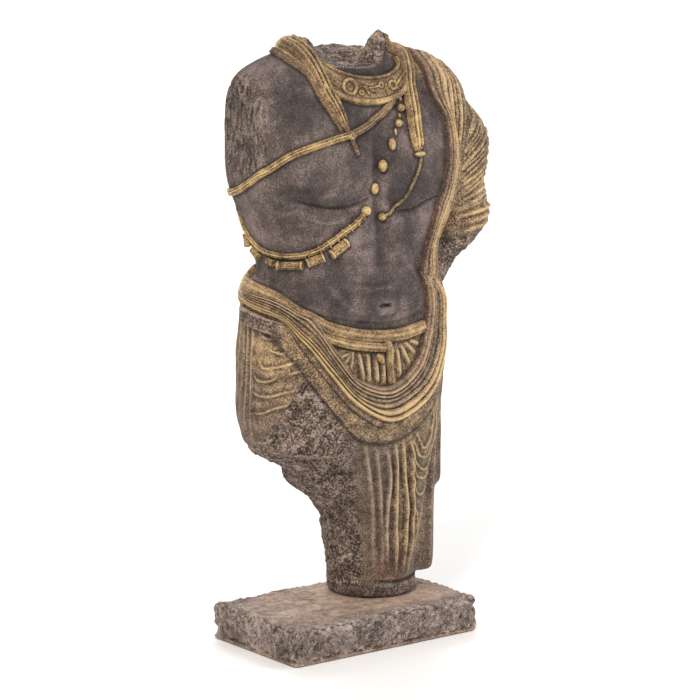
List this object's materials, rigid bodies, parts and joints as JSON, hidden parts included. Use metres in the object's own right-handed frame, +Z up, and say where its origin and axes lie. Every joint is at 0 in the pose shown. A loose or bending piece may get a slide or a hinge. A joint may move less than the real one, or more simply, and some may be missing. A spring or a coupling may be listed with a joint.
{
  "type": "warrior torso figurine",
  "caption": "Free-standing fragment of a draped, jewelled warrior in stone-finished cast, without head or lower limbs, on a rough rectangular plinth",
  "frame": {"origin": "middle of the plinth's underside, on the surface that it stands on", "axes": "+Z up, the figure looks along -Y, its own left side is +X"},
  "size_m": [0.3398, 0.1696, 0.7018],
  "materials": {
    "figure": "matte",
    "plinth": "matte"
  },
  "bodies": {
    "root": {"figure": "figure", "plinth": "plinth"}
  },
  "joints": []
}
